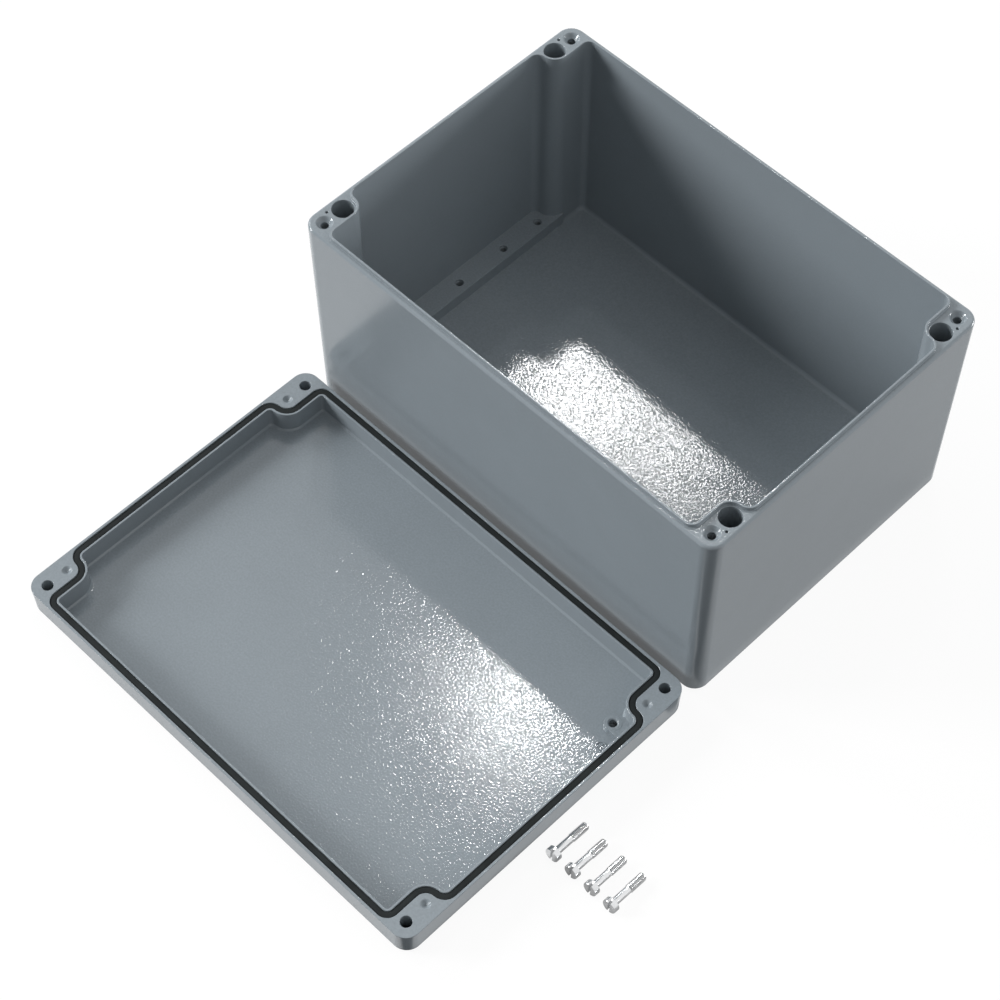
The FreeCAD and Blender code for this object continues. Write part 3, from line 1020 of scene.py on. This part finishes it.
class BOX_OT_gasket(bpy.types.Operator):
    """Sweep the endless gasket that lies in the lid's groove"""

    bl_idname = "box.gasket"
    bl_label = "Gasket"

    def execute(self, context):
        sizes = context.scene.box_gasket
        middle, half_x, half_y = node_middle("lid")
        quarter = self.quarter(sizes, half_x, half_y, context.scene.box_castings.bore_inset)
        course = []
        for sx, sy in ((1, 1), (1, -1), (-1, -1), (-1, 1)):
            run = [Vector((sx * x, sy * y, 0)) for x, y in quarter]
            course += run if sx == sy else run[::-1]
        lift = Vector((0, 0, sizes.base + sizes.height / 2))
        edges = [(count, (count + 1) % len(course)) for count in range(len(course))]
        piece = points_object("gasket_strip", [middle + place + lift for place in course], edges)
        values = {"Width": sizes.width, "Height": sizes.height, "Corner": sizes.corner}
        grow_with(piece, gasket_tree(), "gasket_rubber", values)
        shade(piece.data, 60)
        hand_over(piece, "gasket_rubber", "lid_gasket")
        return {"FINISHED"}

    def quarter(self, sizes, half_x, half_y, bore_inset_y):
        """Points of the gasket's middle line in the +X +Y quarter, from the long wall on."""
        grow, arc_step = sizes.middle, math.radians(7)
        wall_x, wall_y = half_x - sizes.wall + grow, half_y - sizes.wall + grow
        bore_x, bore_y = half_x - sizes.bore_inset_x, half_y - bore_inset_y
        around, pocket, hollow = sizes.bore_cover - grow, sizes.pocket + grow, sizes.hollow + grow
        across = wall_x - hollow - bore_x
        down = math.sqrt((around + hollow) ** 2 - across**2)
        meet = math.atan2(-down, across)
        arcs = (
            (bore_x - around - pocket, wall_y - pocket, pocket, math.pi / 2, 0.0),
            (bore_x, bore_y, around, math.pi, 2 * math.pi + meet),
            (wall_x - hollow, bore_y - down, hollow, meet + math.pi, 0.0),
        )
        points = []
        for x, y, radius, first, last in arcs:
            count = max(4, round(abs(last - first) / arc_step))
            for index in range(count + 1):
                angle = first + (last - first) * index / count
                points.append((x + radius * math.cos(angle), y + radius * math.sin(angle)))
        return points


class BOX_OT_screws(bpy.types.Operator):
    """Turn, slot, thread and lay down the four captive screws"""

    bl_idname = "box.screws"
    bl_label = "Captive screws"

    def execute(self, context):
        sizes = context.scene.box_screws
        tree = screw_tree()
        tilt = math.atan2(sizes.head_radius - sizes.crest_radius, sizes.shank_length)
        for count in range(1, 5):
            node = f"lid_screw_{count}"
            low, high = (Vector(corner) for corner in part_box(node))
            piece = plain_object(f"captive_screw_{count}", self.turned_blank(sizes))
            cut_away(piece, self.slot_block(sizes))
            shade(piece.data, 38)
            under_head = low.y + sizes.head_height * math.cos(tilt)
            values = {
                "Root radius": sizes.root_radius,
                "Pitch": sizes.pitch,
                "Ridge": sizes.crest_radius - sizes.root_radius,
                "Depth": sizes.thread_length - 1.5 * sizes.pitch,
                "Start": sizes.shank_length - sizes.thread_length + 0.5 * sizes.pitch,
                "Place": ((low.x + high.x) / 2, under_head, sizes.head_radius * math.cos(tilt)),
                "Turn": (-math.pi / 2 - tilt, 0.0, 0.0),
            }
            grow_with(piece, tree, "screw_metal", values)
            hand_over(piece, "screw_metal", node)
        return {"FINISHED"}

    def turned_blank(self, sizes):
        """Head, waisted neck and shank, turned about the upright axis."""
        head, neck = sizes.head_radius, sizes.neck_radius
        root, crest = sizes.root_radius, sizes.crest_radius
        top, end = -sizes.head_height, sizes.shank_length
        start = sizes.shank_length - sizes.thread_length
        edge = 0.45 * MM
        # crown, rim and underside of the head; neck; lead in, core and chamfer of the thread
        profile = [
            (head - edge, top),
            (head - 0.12 * MM, top + 0.15 * MM),
            (head, top + edge),
            (head, -0.2 * MM),
            (head - 0.2 * MM, 0),
            (neck + 0.35 * MM, 0),
            (neck + 0.1 * MM, 0.12 * MM),
            (neck, edge),
            (neck, start - 0.5 * MM),
            (crest - 0.15 * MM, start),
            (root, start + 0.6 * MM),
            (root, end - 0.9 * MM),
            (root - 0.5 * MM, end),
        ]
        skin = bmesh.new()
        turn_profile(skin, profile, (0, 0, 0), segments=48)
        return outward_mesh(skin, "turned_screw")

    def slot_block(self, sizes):
        """Block that cuts the driving slot."""
        skin = bmesh.new()
        half, reach = sizes.slot_width / 2, 2 * sizes.head_radius
        top = -sizes.head_height
        add_block(skin, (-half, -reach, top - MM), (half, reach, top + sizes.slot_depth), (0, 0, 0))
        return skin


class BOX_PT_panel(bpy.types.Panel):
    """Lists the pieces of the box"""

    bl_idname = "BOX_PT_panel"
    bl_label = "Die cast box"
    bl_space_type = "VIEW_3D"
    bl_region_type = "UI"
    bl_category = "Box"

    def draw(self, context):
        for operator in OPERATORS:
            self.layout.operator(operator.bl_idname, text=operator.bl_label)
        for group in GROUPS:
            settings = getattr(context.scene, group)
            column = self.layout.column(align=True)
            for name in settings.__annotations__:
                column.prop(settings, name)


GROUPS = {
    "box_castings": CastingSizes,
    "box_threads": ThreadSizes,
    "box_gasket": GasketSizes,
    "box_screws": ScrewSizes,
    "box_colours": FinishColours,
    "box_stage": StageLevels,
}
OPERATORS = (
    BOX_OT_stage,
    BOX_OT_base_casting,
    BOX_OT_lid_casting,
    BOX_OT_hole_threads,
    BOX_OT_earth_web,
    BOX_OT_earth_mark,
    BOX_OT_gasket,
    BOX_OT_screws,
)


def register():
    """Registers the property groups, the operators and the panel."""
    for name, group in GROUPS.items():
        bpy.utils.register_class(group)
        setattr(bpy.types.Scene, name, bpy.props.PointerProperty(type=group))
    for kind in (*OPERATORS, BOX_PT_panel):
        bpy.utils.register_class(kind)


def unregister():
    """Takes everything that register() added out again."""
    for kind in (BOX_PT_panel, *reversed(OPERATORS)):
        bpy.utils.unregister_class(kind)
    for name, group in reversed(GROUPS.items()):
        delattr(bpy.types.Scene, name)
        bpy.utils.unregister_class(group)


def main():
    register()
    for operator in OPERATORS:
        group, name = operator.bl_idname.split(".")
        getattr(getattr(bpy.ops, group), name)()


if __name__ == "__main__":
    main()
